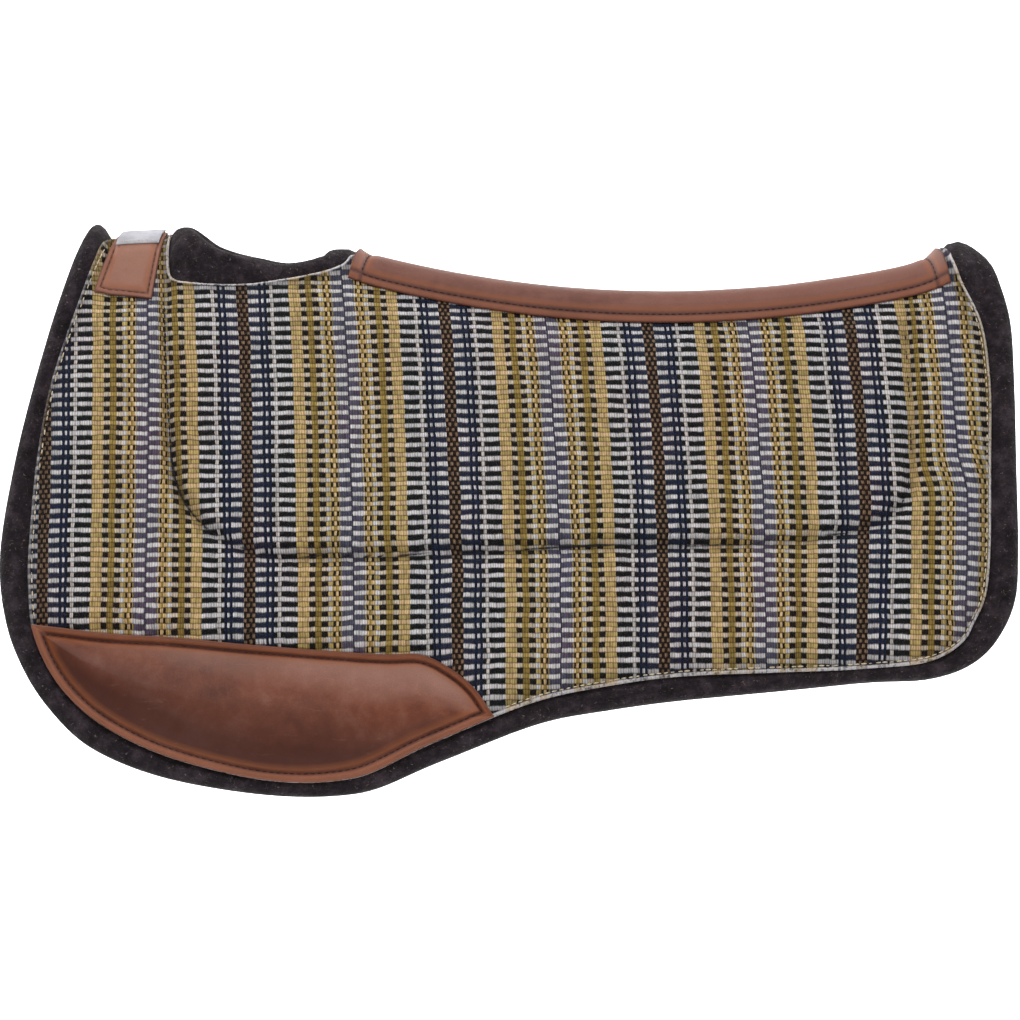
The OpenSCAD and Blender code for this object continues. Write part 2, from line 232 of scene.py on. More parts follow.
patch = {"width": 63, "slope": 8, "inset": 4.0, "press": 2.5,
         "frontInset": 24.5, "frontLean": 0.29, "rearInset": 13.5, "rearLean": 0.14}


def patchAt(u, v):
    # u from the front edge to the rear edge, v from -1 to 1 over the spine
    s = np.abs(v) * (patch["width"] + patch["slope"] * u)
    front = pad["frontX"] + patch["frontInset"] - patch["frontLean"] * s
    rear = cutoutX - patch["rearInset"] - patch["rearLean"] * s
    return np.stack([front + (rear - front) * u, np.sign(v) * s], 1)


feltLook = {"edgeRound": 7.0, "seamRound": 1.6, "lump": 0.5,
            "peaks": ((-420, 12.5, 13.0), (-337, 10.5, 16.0), (-262, 2.8, 20.0),
                      (-235, 4.0, 18.0), (-210, 5.5, 12.0), (282, 18.5, 18.0))}


def feltLift(points):
    # the felt stands up between the sewn pieces and is pressed thin under the patch
    x, s = points[:, 0], np.abs(points[:, 1])
    rise = sum(h * bell((x - at) / wide) for at, h, wide in feltLook["peaks"])
    sewn = smooth((x + 412) / 10) * smooth((-352 - x) / 8) * smooth((82 - s) / 14)
    return rise * bell(s / 48) * (1 - sewn) - patch["press"] * sewn


def gridPieces(name, columns, rows, place, heights, sides=(1,), uLines=None, vLines=None,
               attributes=None):
    # closed pieces: an outer and an inner sheet of one grid, joined round their rims
    bm = bmesh.new()
    bmesh.ops.create_grid(bm, x_segments=columns, y_segments=rows, size=0.5)
    upper = bm.verts[:] + bm.edges[:] + bm.faces[:]
    copy = bmesh.ops.duplicate(bm, geom=upper)["geom"]
    under = [g for g in copy if isinstance(g, bmesh.types.BMVert)]
    bmesh.ops.translate(bm, verts=under, vec=(0, 0, -1))
    bmesh.ops.reverse_faces(bm, faces=[g for g in copy if isinstance(g, bmesh.types.BMFace)])
    bmesh.ops.bridge_loops(bm, edges=[e for e in bm.edges if e.is_boundary])
    base = bpy.data.meshes.new(name)
    bm.to_mesh(base)
    bm.free()
    co = np.empty(len(base.vertices) * 3)
    base.vertices.foreach_get("co", co)
    co = co.reshape(-1, 3)
    u, v, outer = co[:, 0] + 0.5, co[:, 1] + 0.5, co[:, 2] > -0.5
    u = u if uLines is None else np.interp(u, *uLines)
    v = v if vLines is None else np.interp(v, *vLines)
    flat = place(u, v)
    h = heights(flat, outer, u, v)
    for key, value in (attributes or {}).items():
        data = base.attributes.new(key, "FLOAT", "POINT")
        data.data.foreach_set("value", value(flat, outer, u, v).astype(np.float32))
    uv = base.uv_layers.new(name="cloth")
    at = np.empty(len(base.loops), int)
    base.loops.foreach_get("vertex_index", at)
    uv.data.foreach_set("uv", (clothPlace(flat)[at] / 1000).ravel())
    made = []
    for side in sides:
        mesh = base if side == sides[-1] else base.copy()
        mesh.vertices.foreach_set("co", skin(flat[:, 0], side * flat[:, 1], h).ravel())
        mesh.update()
        bm = bmesh.new()
        bm.from_mesh(mesh)
        bmesh.ops.recalc_face_normals(bm, faces=bm.faces)
        bm.to_mesh(mesh)
        bm.free()
        mesh.polygons.foreach_set("use_smooth", np.ones(len(mesh.polygons), bool))
        label = name if len(sides) == 1 else ("left" if side > 0 else "right") + name
        mesh.name = label
        obj = bpy.data.objects.new(label, mesh)
        bpy.context.scene.collection.objects.link(obj)
        made.append(obj)
    return made


def closedBy(points, line):
    # whether each point lies in the area that a line closes
    x, s = points[:, 0], points[:, 1]
    inside = np.zeros(len(points), bool)
    for (ax, ay), (bx, by) in zip(line, np.roll(line, -1, 0)):
        if ay != by:
            inside ^= ((ay > s) != (by > s)) & (x < (bx - ax) * (s - ay) / (by - ay) + ax)
    return inside


def clothPlace(points):
    # where each point was on the flat cloth: the stripes wander from square, by other amounts
    # within the quilting than beyond it, and the rows run level
    x, s = points[:, 0], np.abs(points[:, 1])
    drift = 9 * (1 - np.exp(-np.maximum(s - 40, -20) / 110))
    drift = drift - 6 * smooth((x - 100) / 100) * smooth((s - 180) / 150)
    within = np.interp(x, (-357, -280, -100, 70, 130, 200), (0.8, 1.8, 2.4, 2.9, 2.0, 0.9))
    within = within + 0.016 * (s - 130)
    beyond = np.interp(x, (-400, -150, 0, 100, 200), (6.2, 5.2, 4.2, 3.0, 0.8))
    beyond = beyond - 6.4 * smooth((x - 235) / 15) * smooth((215 - s) / 40)
    area = np.vstack([(quilt[0, 0], -9), quilt, (quilt[-1, 0], -9)])
    gap = distance(np.column_stack([x, s]), curve(area, np.linspace(0, len(area) - 1, 90)))[0]
    gap = gap * np.where(closedBy(np.column_stack([x, s]), area), 1, -1)
    drift = drift + beyond + (within - beyond) * smooth((gap + 8) / 16)
    level = (topline(x) - pad["felt"]) / math.cos(math.radians(pad["lean"]))
    return np.stack([x - drift, s - level], 1)


def roundedEdge(d, r):
    # how far a rounded edge falls below the flat, at a distance d from the edge
    return r - np.sqrt(np.maximum(r * r - np.square(np.maximum(r - d, 0)), 0))


def bend(obj):
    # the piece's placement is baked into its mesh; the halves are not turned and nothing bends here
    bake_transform(obj)


# materials

def colour(red, green, blue):
    # a colour as a screen shows it, made linear
    return tuple(c / 12.92 if c <= 0.04045 else ((c + 0.055) / 1.055) ** 2.4
                 for c in (red / 255, green / 255, blue / 255)) + (1.0,)


def grey(value):
    return (value, value, value, 1.0)


def shadeOf(a, b, t):
    return tuple(p + (q - p) * t for p, q in zip(a, b))


class Nodes:
    # short ways to add nodes to one material
    def __init__(self, name):
        self.material = bpy.data.materials.new(name)
        self.material.use_nodes = True
        self.nodes = self.material.node_tree.nodes
        self.links = self.material.node_tree.links
        self.shader = self.nodes["Principled BSDF"]

    def put(self, socket, value):
        if isinstance(value, bpy.types.NodeSocket):
            self.links.new(value, socket)
        else:
            socket.default_value = value

    def math(self, operation, a, b=None, c=None):
        node = self.nodes.new("ShaderNodeMath")
        node.operation = operation
        for i, value in enumerate((a, b, c)):
            if value is not None:
                self.put(node.inputs[i], value)
        return node.outputs[0]

    def mix(self, factor, a, b, blend="MIX"):
        node = self.nodes.new("ShaderNodeMix")
        node.data_type, node.blend_type = "RGBA", blend
        self.put(node.inputs["Factor"], factor)
        self.put(node.inputs[6], a)
        self.put(node.inputs[7], b)
        return node.outputs[2]

    def noise(self, vector, scale, detail=2.0, rough=0.5, output=0):
        node = self.nodes.new("ShaderNodeTexNoise")
        self.put(node.inputs["Vector"], vector)
        node.inputs["Scale"].default_value = scale
        node.inputs["Detail"].default_value = detail
        node.inputs["Roughness"].default_value = rough
        return node.outputs[output]

    def cells(self, vector, scale, feature="F1", output="Distance"):
        node = self.nodes.new("ShaderNodeTexVoronoi")
        node.feature = feature
        self.put(node.inputs["Vector"], vector)
        node.inputs["Scale"].default_value = scale
        return node.outputs[output]

    def ramp(self, value, stops, steps=False):
        node = self.nodes.new("ShaderNodeValToRGB")
        line = node.color_ramp
        line.interpolation = "CONSTANT" if steps else "LINEAR"
        while len(line.elements) > 1:
            line.elements.remove(line.elements[-1])
        line.elements[0].position, line.elements[0].color = stops[0]
        for place, shade in stops[1:]:
            line.elements.new(place).color = shade
        self.put(node.inputs[0], value)
        return node.outputs[0]

    def between(self, value, low, high, a=0.0, b=1.0):
        node = self.nodes.new("ShaderNodeMapRange")
        self.put(node.inputs[0], value)
        for i, number in enumerate((low, high, a, b)):
            node.inputs[i + 1].default_value = number
        return node.outputs[0]

    def bump(self, height, distance, strength=1.0, normal=None):
        node = self.nodes.new("ShaderNodeBump")
        node.inputs["Strength"].default_value = strength
        node.inputs["Distance"].default_value = distance
        self.put(node.inputs["Height"], height)
        if normal is not None:
            self.put(node.inputs["Normal"], normal)
        return node.outputs[0]

    def place(self, scale=(1, 1, 1)):
        if not hasattr(self, "objectPlace"):
            self.objectPlace = self.nodes.new("ShaderNodeTexCoord").outputs["Object"]
        if scale == (1, 1, 1):
            return self.objectPlace
        node = self.nodes.new("ShaderNodeMapping")
        self.put(node.inputs["Vector"], self.objectPlace)
        node.inputs["Scale"].default_value = scale
        return node.outputs[0]

    def attribute(self, name):
        node = self.nodes.new("ShaderNodeAttribute")
        node.attribute_name = name
        return node.outputs["Fac"]

    def split(self, vector, colour=False):
        node = self.nodes.new("ShaderNodeSeparateColor" if colour else "ShaderNodeSeparateXYZ")
        self.put(node.inputs[0], vector)
        return node.outputs

    def combine(self, x, y, z=0.0):
        node = self.nodes.new("ShaderNodeCombineXYZ")
        for i, value in enumerate((x, y, z)):
            self.put(node.inputs[i], value)
        return node.outputs[0]


weave = {"repeat": 0.0822, "phase": 0.1325, "row": 0.0081, "yarn": 0.00205}


def weaveMaterial():
    m = Nodes("wovenStripes")
    uv = m.nodes.new("ShaderNodeUVMap")
    uv.uv_map = "cloth"
    wobble = m.noise(uv.outputs[0], 30, 2.0, 0.6, output=1)
    fine = m.noise(uv.outputs[0], 240, 2.0, 0.6, output=1)
    shift = m.nodes.new("ShaderNodeVectorMath")
    shift.operation = "MULTIPLY_ADD"
    m.put(shift.inputs[0], wobble)
    shift.inputs[1].default_value = (0.0030, 0.0034, 0)
    m.put(shift.inputs[2], uv.outputs[0])
    shake = m.nodes.new("ShaderNodeVectorMath")
    shake.operation = "MULTIPLY_ADD"
    m.put(shake.inputs[0], fine)
    shake.inputs[1].default_value = (0.0010, 0.0014, 0)
    m.put(shake.inputs[2], shift.outputs[0])
    x, s, _ = m.split(shake.outputs[0])
    half = m.math("DIVIDE", m.math("ADD", x, weave["phase"]), weave["repeat"])
    t = m.math("PINGPONG", half, 1.0)
    flip = m.math("FLOOR", half)
    # each stripe: where it starts in mm from the brown one, its light and dark yarn, and how
    # much of each pair of rows the light yarn takes, where 0 is half and 1 is all of it
    white, cream, ivory = colour(204, 199, 200), colour(198, 182, 162), colour(194, 183, 175)
    navy, slate = colour(14, 28, 54), colour(30, 35, 58)
    ink, soot = colour(7, 13, 19), colour(18, 11, 8)
    tan, gold = colour(206, 174, 128), colour(182, 157, 98)
    olive, oliveDark = colour(158, 134, 70), colour(134, 108, 54)
    brown, dot = colour(32, 15, 7), colour(130, 104, 82)
    lilac, violet = colour(82, 75, 94), colour(42, 38, 56)
    stripes = [
        (0.0, dot, brown, -0.5), (2.1, brown, dot, 0.5), (4.4, white, slate, 0),
        (13.0, navy, navy, 0), (15.1, white, slate, -0.1), (17.1, navy, navy, 0),
        (19.4, white, ink, -0.1), (22.4, white, ivory, 0.3), (25.0, white, ink, -0.05),
        (37.8, tan, gold, 0.1), (46.6, cream, soot, -0.1), (51.4, olive, oliveDark, 0.2),
        (56.6, cream, soot, -0.1), (61.9, white, gold, 0.1), (65.0, gold, olive, 0),
        (66.0, tan, soot, -0.1), (67.8, olive, tan, 0), (70.0, tan, soot, -0.1),
        (71.8, white, olive, 0), (72.7, white, lilac, 0), (81.5, violet, lilac, 0)]
    span = weave["repeat"] * 1000
    light = m.ramp(t, [(a / span, c) for a, c, _, _ in stripes], steps=True)
    dark = m.ramp(t, [(a / span, c) for a, _, c, _ in stripes], steps=True)
    share = m.ramp(t, [(a / span, grey(0.5 + 0.5 * c)) for a, _, _, c in stripes], steps=True)
    row = m.math("ADD", m.math("DIVIDE", s, weave["row"]), m.math("MULTIPLY", flip, 0.5))
    beat = m.math("SINE", m.math("MULTIPLY", row, 2 * math.pi))
    yarn = m.math("DIVIDE", x, weave["yarn"])
    yarnWave = m.math("COSINE", m.math("MULTIPLY", yarn, 2 * math.pi))
    fray = m.noise(uv.outputs[0], 1100, 3.0, 0.7)
    edge = m.math("ADD", beat, m.math("MULTIPLY", m.math("SUBTRACT", fray, 0.5), 1.3))
    edge = m.math("ADD", edge, m.math("SUBTRACT", m.math("MULTIPLY", share, 2.0), 1.0))
    isLight = m.between(edge, -0.35, 0.35)
    base = m.mix(isLight, dark, light)
    # each crossing of the yarns has its own tone
    crossing = m.nodes.new("ShaderNodeTexWhiteNoise")
    crossing.noise_dimensions = "2D"
    m.put(crossing.inputs["Vector"], m.combine(
        m.math("FLOOR", yarn), m.math("FLOOR", m.math("MULTIPLY", row, 2.0))))
    tones = m.split(crossing.outputs["Color"], colour=True)
    base = m.mix(1.0, base, m.mix(tones[0], grey(0.62), grey(1.08)), "MULTIPLY")
    # the dark yarns were dyed in lots that differ: bluer, greener and more purple
    cloud = m.noise(m.place(), 11, 3.0, 0.6)
    lots = m.ramp(cloud, [(0.38, colour(255, 222, 232)), (0.47, grey(1.0)),
                          (0.56, colour(196, 240, 236)), (0.64, colour(210, 226, 255))])
    dyed = m.between(m.split(dark, colour=True)[0], 0.02, 0.14, 0.9, 0.12)
    dyed = m.math("MULTIPLY", dyed, m.between(isLight, 0.2, 0.8, 1.0, 0.08))
    base = m.mix(dyed, base, m.mix(1.0, base, lots, "MULTIPLY"))
    # painted shade: each dash is darkened towards the row borders and between the yarns, so it is
    # lighter in its middle
    rowShade = m.between(m.math("ABSOLUTE", beat), 0.0, 0.62, 0.25, 1.0)
    yarnShade = m.between(yarnWave, -1.0, 0.1, 0.5, 1.0)
    base = m.mix(1.0, base, m.mix(m.math("MULTIPLY", rowShade, yarnShade), grey(0.10), grey(1.0)),
                 "MULTIPLY")
    hair = m.noise(uv.outputs[0], 2600, 2.0, 0.7)
    base = m.mix(m.between(hair, 0.60, 0.72, 0.0, 0.35), base, cream)
    # painted shade: a dark line along the quilting groove and a darker band either side of it, and
    # darker towards the edges
    groove = m.attribute("stitchDistance")
    base = m.mix(m.between(groove, 0.7, 1.7, 0.75, 0.0), base, colour(20, 18, 22))
    base = m.mix(1.0, base, m.ramp(m.between(groove, 1.0, 9.0), [
        (0.0, grey(0.66)), (1.0, grey(1.0))]), "MULTIPLY")
    # painted shade towards the edges, where the cover curves down to the felt
    edge = m.attribute("edgeDistance")
    base = m.mix(1.0, base, m.ramp(m.between(edge, 2.5, 17.0), [
        (0.0, grey(0.5)), (0.5, grey(0.82)), (1.0, grey(1.0))]), "MULTIPLY")
    # the turned edge shows the light yarns only
    hem = m.between(m.math("ADD", edge, m.between(wobble, 0.3, 0.7, -0.5, 0.5)), 1.7, 2.6, 1.0, 0.0)
    worn = m.between(m.noise(uv.outputs[0], 330, 2.0), 0.34, 0.48, 0.25, 1.0)
    hem = m.math("MULTIPLY", hem, worn)
    hem = m.math("MULTIPLY", hem, m.between(m.split(m.place())[0], -0.445, -0.415, 0.2, 0.9))
    base = m.mix(hem, base, m.mix(0.5, m.mix(1.0, light, grey(0.8), "MULTIPLY"), white))
    m.put(m.shader.inputs["Base Color"], base)
    m.shader.inputs["Roughness"].default_value = 0.9
    m.shader.inputs["Sheen Weight"].default_value = 0.02
    m.shader.inputs["Sheen Roughness"].default_value = 0.6
    m.shader.inputs["Specular IOR Level"].default_value = 0.1
    ribs = m.math("POWER", m.math("ABSOLUTE", beat), 0.6)
    height = m.math("ADD", m.math("MULTIPLY", ribs, 0.8),
                    m.math("MULTIPLY", m.math("ADD", yarnWave, 1.0), 0.3))
    height = m.math("ADD", height, m.math("MULTIPLY", fray, 0.5))
    height = m.math("ADD", height, m.math("MULTIPLY", isLight, 0.25))
    m.put(m.shader.inputs["Normal"], m.bump(height, 0.0010, 0.9))
    return m.material


def feltMaterial():
    m = Nodes("woolFelt")
    place = m.place()
    mottled = m.noise(place, 70, 5.0, 0.7)
    base = m.ramp(mottled, [(0.3, colour(12, 9, 11)), (0.5, colour(31, 25, 29)),
                            (0.7, colour(58, 49, 54))])
    fibres = m.noise(m.place((260, 900, 900)), 1.0, 3.0, 0.7)
    base = m.mix(m.between(fibres, 0.56, 0.74, 0.0, 0.35), base, colour(84, 73, 76))
    strands = m.noise(m.place((700, 700, 190)), 1.0, 3.0, 0.7)
    base = m.mix(m.between(strands, 0.60, 0.74, 0.0, 0.35), base, colour(70, 62, 70))
    bent = m.noise(place, 160, 2.0, 0.6, output=1)
    warp = m.nodes.new("ShaderNodeVectorMath")
    warp.operation = "MULTIPLY_ADD"
    m.put(warp.inputs[0], bent)
    warp.inputs[1].default_value = (0.012, 0.012, 0.012)
    m.put(warp.inputs[2], place)
    flecks = (((1, 1, 2.4), 230, 0.86), ((2.2, 1, 1), 310, 0.80))
    for stretch, scale, rare in flecks:
        node = m.nodes.new("ShaderNodeMapping")
        m.put(node.inputs["Vector"], warp.outputs[0])
        node.inputs["Scale"].default_value = stretch
        tones = m.split(m.cells(node.outputs[0], scale, output="Color"), colour=True)
        near = m.between(m.cells(node.outputs[0], scale), 0.10, 0.30, 1.0, 0.0)
        fleck = m.math("MULTIPLY", m.math("GREATER_THAN", tones[0], rare), near)
        tint = m.ramp(tones[1], [(0.0, colour(120, 112, 110)), (0.35, colour(104, 72, 52)),
                                 (0.6, colour(84, 96, 72)), (0.8, colour(90, 78, 104)),
                                 (1.0, colour(140, 132, 124))])
        base = m.mix(m.math("MULTIPLY", fleck, 0.6), base, tint)
    m.put(m.shader.inputs["Base Color"], base)
    m.shader.inputs["Roughness"].default_value = 0.95
    m.shader.inputs["Sheen Weight"].default_value = 0.05
    m.shader.inputs["Sheen Roughness"].default_value = 0.5
    m.shader.inputs["Specular IOR Level"].default_value = 0.12
    fuzz = m.noise(place, 420, 4.0, 0.75)
    soft = m.noise(place, 90, 3.0, 0.6)
    normal = m.bump(soft, 0.0034, 0.55)
    m.put(m.shader.inputs["Normal"], m.bump(fuzz, 0.0016, 0.9, normal))
    return m.material


def leatherMaterial(name, deep, mid, pale, edgeTone, roughness=0.46, toneStrength=0.5):
    m = Nodes(name)
    place = m.place()
    cloud = m.noise(place, 9, 4.0, 0.6)
    fine = m.noise(place, 80, 4.0, 0.65)
    mixed = m.math("ADD", m.math("MULTIPLY", cloud, 0.7), m.math("MULTIPLY", fine, 0.3))
    base = m.ramp(mixed, [(0.38, shadeOf(deep, mid, 0.45)), (0.5, mid),
                          (0.66, shadeOf(mid, pale, 0.45))])
    # the tone attribute moves the colour towards pale above 0 and towards deep below it; on the
    # wear leather and the spine strap it is painted light and shade
    tone = m.attribute("tone")
    base = m.mix(m.between(tone, 0.0, 1.0, 0.0, toneStrength), base, pale)
    base = m.mix(m.between(tone, -1.0, 0.0, toneStrength, 0.0), base, deep)
    scuff = m.noise(m.place((26, 260, 260)), 1.0, 5.0, 0.7)
    base = m.mix(m.between(scuff, 0.62, 0.76, 0.0, 0.22), base, pale)
    dots = m.noise(place, 1300, 2.0, 0.6)
    base = m.mix(m.between(dots, 0.35, 0.7, 0.25, 0.0), base, deep)
    edge = m.attribute("edgeDistance")
    base = m.mix(m.between(edge, 0.6, 1.5, 0.8, 0.0), base, edgeTone)
    stitch = m.attribute("stitchDistance")
    # painted shade in the stitch groove
    base = m.mix(m.between(stitch, 0.3, 1.5, 0.55, 0.0), base, shadeOf(deep, grey(0), 0.3))
    glow = m.math("MULTIPLY", m.between(stitch, 1.2, 2.6), m.between(stitch, 2.6, 7.0, 0.35, 0.0))
    base = m.mix(glow, base, colour(150, 84, 40))
    m.put(m.shader.inputs["Base Color"], base)
    rough = m.between(cloud, 0.3, 0.7, roughness - 0.05, roughness + 0.08)
    m.put(m.shader.inputs["Roughness"], rough)
    m.shader.inputs["Specular IOR Level"].default_value = 0.22
    pores = m.cells(place, 1150, "DISTANCE_TO_EDGE")
    crease = m.cells(place, 420, "DISTANCE_TO_EDGE")
    grain = m.math("ADD", m.between(pores, 0.0, 0.25), m.between(crease, 0.0, 0.12, 0.0, 0.5))
    normal = m.bump(grain, 0.00016, 0.5)
    waves = m.noise(place, 40, 3.0, 0.6)
    m.put(m.shader.inputs["Normal"], m.bump(waves, 0.0014, 0.3, normal))
    return m.material


def threadMaterial(name, shade, highlight):
    m = Nodes(name)
    twist = m.noise(m.place((900, 900, 900)), 1.0, 2.0, 0.6)
    m.put(m.shader.inputs["Base Color"], m.mix(m.between(twist, 0.35, 0.65), shade, highlight))
    m.shader.inputs["Roughness"].default_value = 0.6
    m.shader.inputs["Specular IOR Level"].default_value = 0.15
    m.put(m.shader.inputs["Normal"], m.bump(twist, 0.0003, 0.6))
    return m.material


def labelMaterial():
    m = Nodes("labelCloth")
    place = m.place()
    x, _, z = m.split(place)
    wave = m.math("MULTIPLY", m.math("SINE", m.math("MULTIPLY", x, 2 * math.pi / 0.0009)),
                  m.math("SINE", m.math("MULTIPLY", z, 2 * math.pi / 0.0009)))
    soil = m.noise(place, 60, 3.0, 0.6)
    base = m.ramp(soil, [(0.3, colour(132, 131, 136)), (0.62, colour(164, 163, 169))])
    base = m.mix(m.between(wave, -1.0, 0.0, 0.18, 0.0), base, colour(116, 114, 118))
    m.put(m.shader.inputs["Base Color"], base)
    m.shader.inputs["Roughness"].default_value = 0.7
    m.put(m.shader.inputs["Normal"], m.bump(wave, 0.0002, 0.4))
    return m.material


woven = weaveMaterial()
felt = feltMaterial()
wearHide = leatherMaterial("wearLeather", colour(54, 19, 8), colour(111, 60, 40),
                           colour(156, 116, 102), colour(120, 76, 60), 0.42, 0.85)
strapHide = leatherMaterial("spineLeather", colour(68, 36, 28), colour(106, 66, 54),
                            colour(120, 82, 70), colour(86, 48, 38), 0.5, 0.4)
patchHide = leatherMaterial("patchLeather", colour(92, 52, 38), colour(138, 96, 80),
                            colour(154, 112, 96), colour(104, 64, 50), 0.5, 0.4)
patchThread = threadMaterial("patchThread", colour(70, 36, 24), colour(112, 68, 50))
darkThread = threadMaterial("darkThread", colour(30, 14, 10), colour(70, 38, 28))
creamThread = threadMaterial("creamThread", colour(150, 134, 108), colour(206, 192, 166))
quiltThread = threadMaterial("quiltThread", colour(14, 13, 17), colour(36, 34, 40))
tapeCloth = threadMaterial("tapeCloth", colour(40, 36, 38), colour(66, 60, 62))
labelCloth = labelMaterial()
print("materials made")


def gridLines(*parts):
    # places of the grid lines from 0 to 1, as pairs for np.interp
    places = np.concatenate([np.atleast_1d(p) for p in parts])
    return np.linspace(0, 1, len(places)), places


# grid lines lie close together near the rims, where the edge is rounded
nearRim = np.array([0, 0.0012, 0.003, 0.006, 0.010, 0.016, 0.024, 0.035])
feltU = gridLines(nearRim * 0.6, np.linspace(0.028, 0.972, 150), 1 - nearRim[::-1] * 0.6)
feltV = gridLines([0, 0.0015, 0.004, 0.008, 0.014, 0.022, 0.032, 0.043],
                  np.linspace(0.055, 0.95, 56), 1 - nearRim[::-1])


def feltHeights(points, outer, u, v):
    x, s = points[:, 0], points[:, 1]
    d = np.minimum(distance(points, feltRimLine)[0], distance(points, feltHoleLine)[0])
    seam = np.where((x < cutoutX - 2) | (x > cutoutEnd + 2), s, 50)
    lift = feltLift(points)
    under = np.minimum(distance(points, coverRimLine)[0], distance(points, coverHoleLine)[0])
    bare = d < np.where(s < 60, 24, 12)
    lumpy = feltLook["lump"] * (lumps(points, 26, 3) + 0.6 * lumps(points, 9, 7))
    top = lift + lumpy - roundedEdge(d, feltLook["edgeRound"])
    top = top - roundedEdge(seam, feltLook["seamRound"])
    top = top + 1.6 * bell((d - 9) / 6) * bare - 1.2 * bell(under / 3.5)
    low = -pad["felt"] + roundedEdge(d, feltLook["edgeRound"]) + lumpy * 0.7
    low = low + roundedEdge(seam, feltLook["seamRound"]) + np.minimum(lift, 0) * 0.3
    return np.where(outer, top, low)


feltPieces = gridPieces("FeltPad", len(feltU[0]) - 1, len(feltV[0]) - 1,
                        stretched(feltTop, lambda t: curve(rim, t)), feltHeights, (1, -1),
                        feltU, feltV)
print("felt made")

coverLook = {"puff": 9.0, "reach": 15.0, "quiltDepth": 6.5, "quiltWidth": 5.0,
             "ripple": 1.0, "pucker": 0.6, "hemRoll": 0.9}


def coverEdge(points, outer=None, u=None, v=None):
    near = np.minimum(distance(points, coverRimLine)[0], distance(points, coverHoleLine)[0])
    return np.where(points[:, 1] < 2, 30, near)


def quiltFirm(points):
    # the quilting is drawn tight along the bottom and slack up the two legs
    return 0.4 + 0.6 * smooth((points[:, 1] - 130) / 90)


def coverPuff(points, near):
    x, s = points[:, 0], points[:, 1]
    gap, along = distance(points, quiltLine)
    low = 0.62 + 0.38 * smooth((s - 120) / 160)
    puff = coverLook["puff"] * low * (1 - np.exp(-near / coverLook["reach"]))
    tight = quiltFirm(points)
    puff = puff - coverLook["quiltDepth"] * tight * bell(gap / coverLook["quiltWidth"])
    puff = puff - 1.4 * tight * bell(gap / 16)
    rows = along + 2.2 * lumps(points, 18, 5)
    puff = puff + coverLook["pucker"] * np.sin(rows * 2 * math.pi / 11) * bell((gap - 5) / 5)
    puff = puff + coverLook["ripple"] * lumps(points, 85, 1) + 0.5 * lumps(points, 31, 2)
    hemRows = points[:, 0] * 0.7 + points[:, 1] + 5 * lumps(points, 22, 8)
    puff = puff + 0.45 * np.sin(hemRows * 2 * math.pi / 13) * bell((near - 7) / 6)
    free = smooth((s - 33) / 26)
    strip = smooth((x + 440) / 8) * smooth((-348 - x) / 8) * smooth((86 - s) / 16)
    free = free * (1 - strip)
    free = free * smooth((3 - wearDepth(points)) / 15)
    return np.maximum(puff, 0.0) * free


def coverHeights(points, outer, u, v):
    near = coverEdge(points)
    base = feltLift(points) + pad["coverBase"]
    top = base + pad["cover"] + coverPuff(points, near) - roundedEdge(near, 1.3)
    top = top + coverLook["hemRoll"] * bell((near - 1.6) / 1.2)
    return np.where(outer, top, base)


def quiltGap(points, outer, u, v):
    return distance(points, quiltLine)[0] + 5 * (1 - quiltFirm(points))


coverU = gridLines(nearRim * 0.6, np.linspace(0.028, 0.972, 200), 1 - nearRim[::-1] * 0.6)
coverV = gridLines([0, 0.002, 0.005, 0.009, 0.014, 0.02, 0.028, 0.036, 0.046],
                   np.linspace(0.056, 0.95, 96), 1 - nearRim[::-1])
coverPieces = gridPieces("WovenCover", len(coverU[0]) - 1, len(coverV[0]) - 1,
                         stretched(coverTop, coverRim), coverHeights, (1, -1), coverU, coverV,
                         {"edgeDistance": coverEdge, "stitchDistance": quiltGap})
print("cover made")

wear = {"margin": 6.5, "puff": 13.0, "reach": 17.0, "groove": 1.3}


def wearPlace(u, v):
    top = curve(wearTop, u * (len(wearTop) - 1))
    low = coverRim(wearSpan[0] + (wearSpan[1] - wearSpan[0]) * u)
    return top + (low - top) * v[:, None]


def wearLines(points, outer=None, u=None, v=None):
    return np.minimum(distance(points, wearTopLine)[0], distance(points, wearLowLine)[0])


def wearHeights(points, outer, u, v):
    d = wearLines(points)
    inside = np.maximum(d - wear["margin"], 0)
    puff = wear["puff"] * (1 - np.exp(-inside / wear["reach"]))
    puff = puff * (1 + 0.05 * lumps(points, 60, 4))
    top = trimBase + pad["leather"] + puff - roundedEdge(d, 0.9)
    top = top + 0.8 * bell((d - 3) / 2.2)
    top = top - wear["groove"] * bell((d - wear["margin"]) / 1.2)
    return np.where(outer, top, trimBase)


# painted highlight and shade: the puffed leather is paler towards its upper edge and deeper towards
# its lower edge; the upper margin is darker and the lower margin lighter
def wearTone(points, outer, u, v):
    margin = smooth((wearLines(points) - wear["margin"]) / 3)
    inside = np.clip(1.2 - 2.9 * v + 0.25 * lumps(points, 50, 9), -1, 1)
    return inside * margin + (1 - margin) * np.where(v < 0.5, -0.55, 0.25)


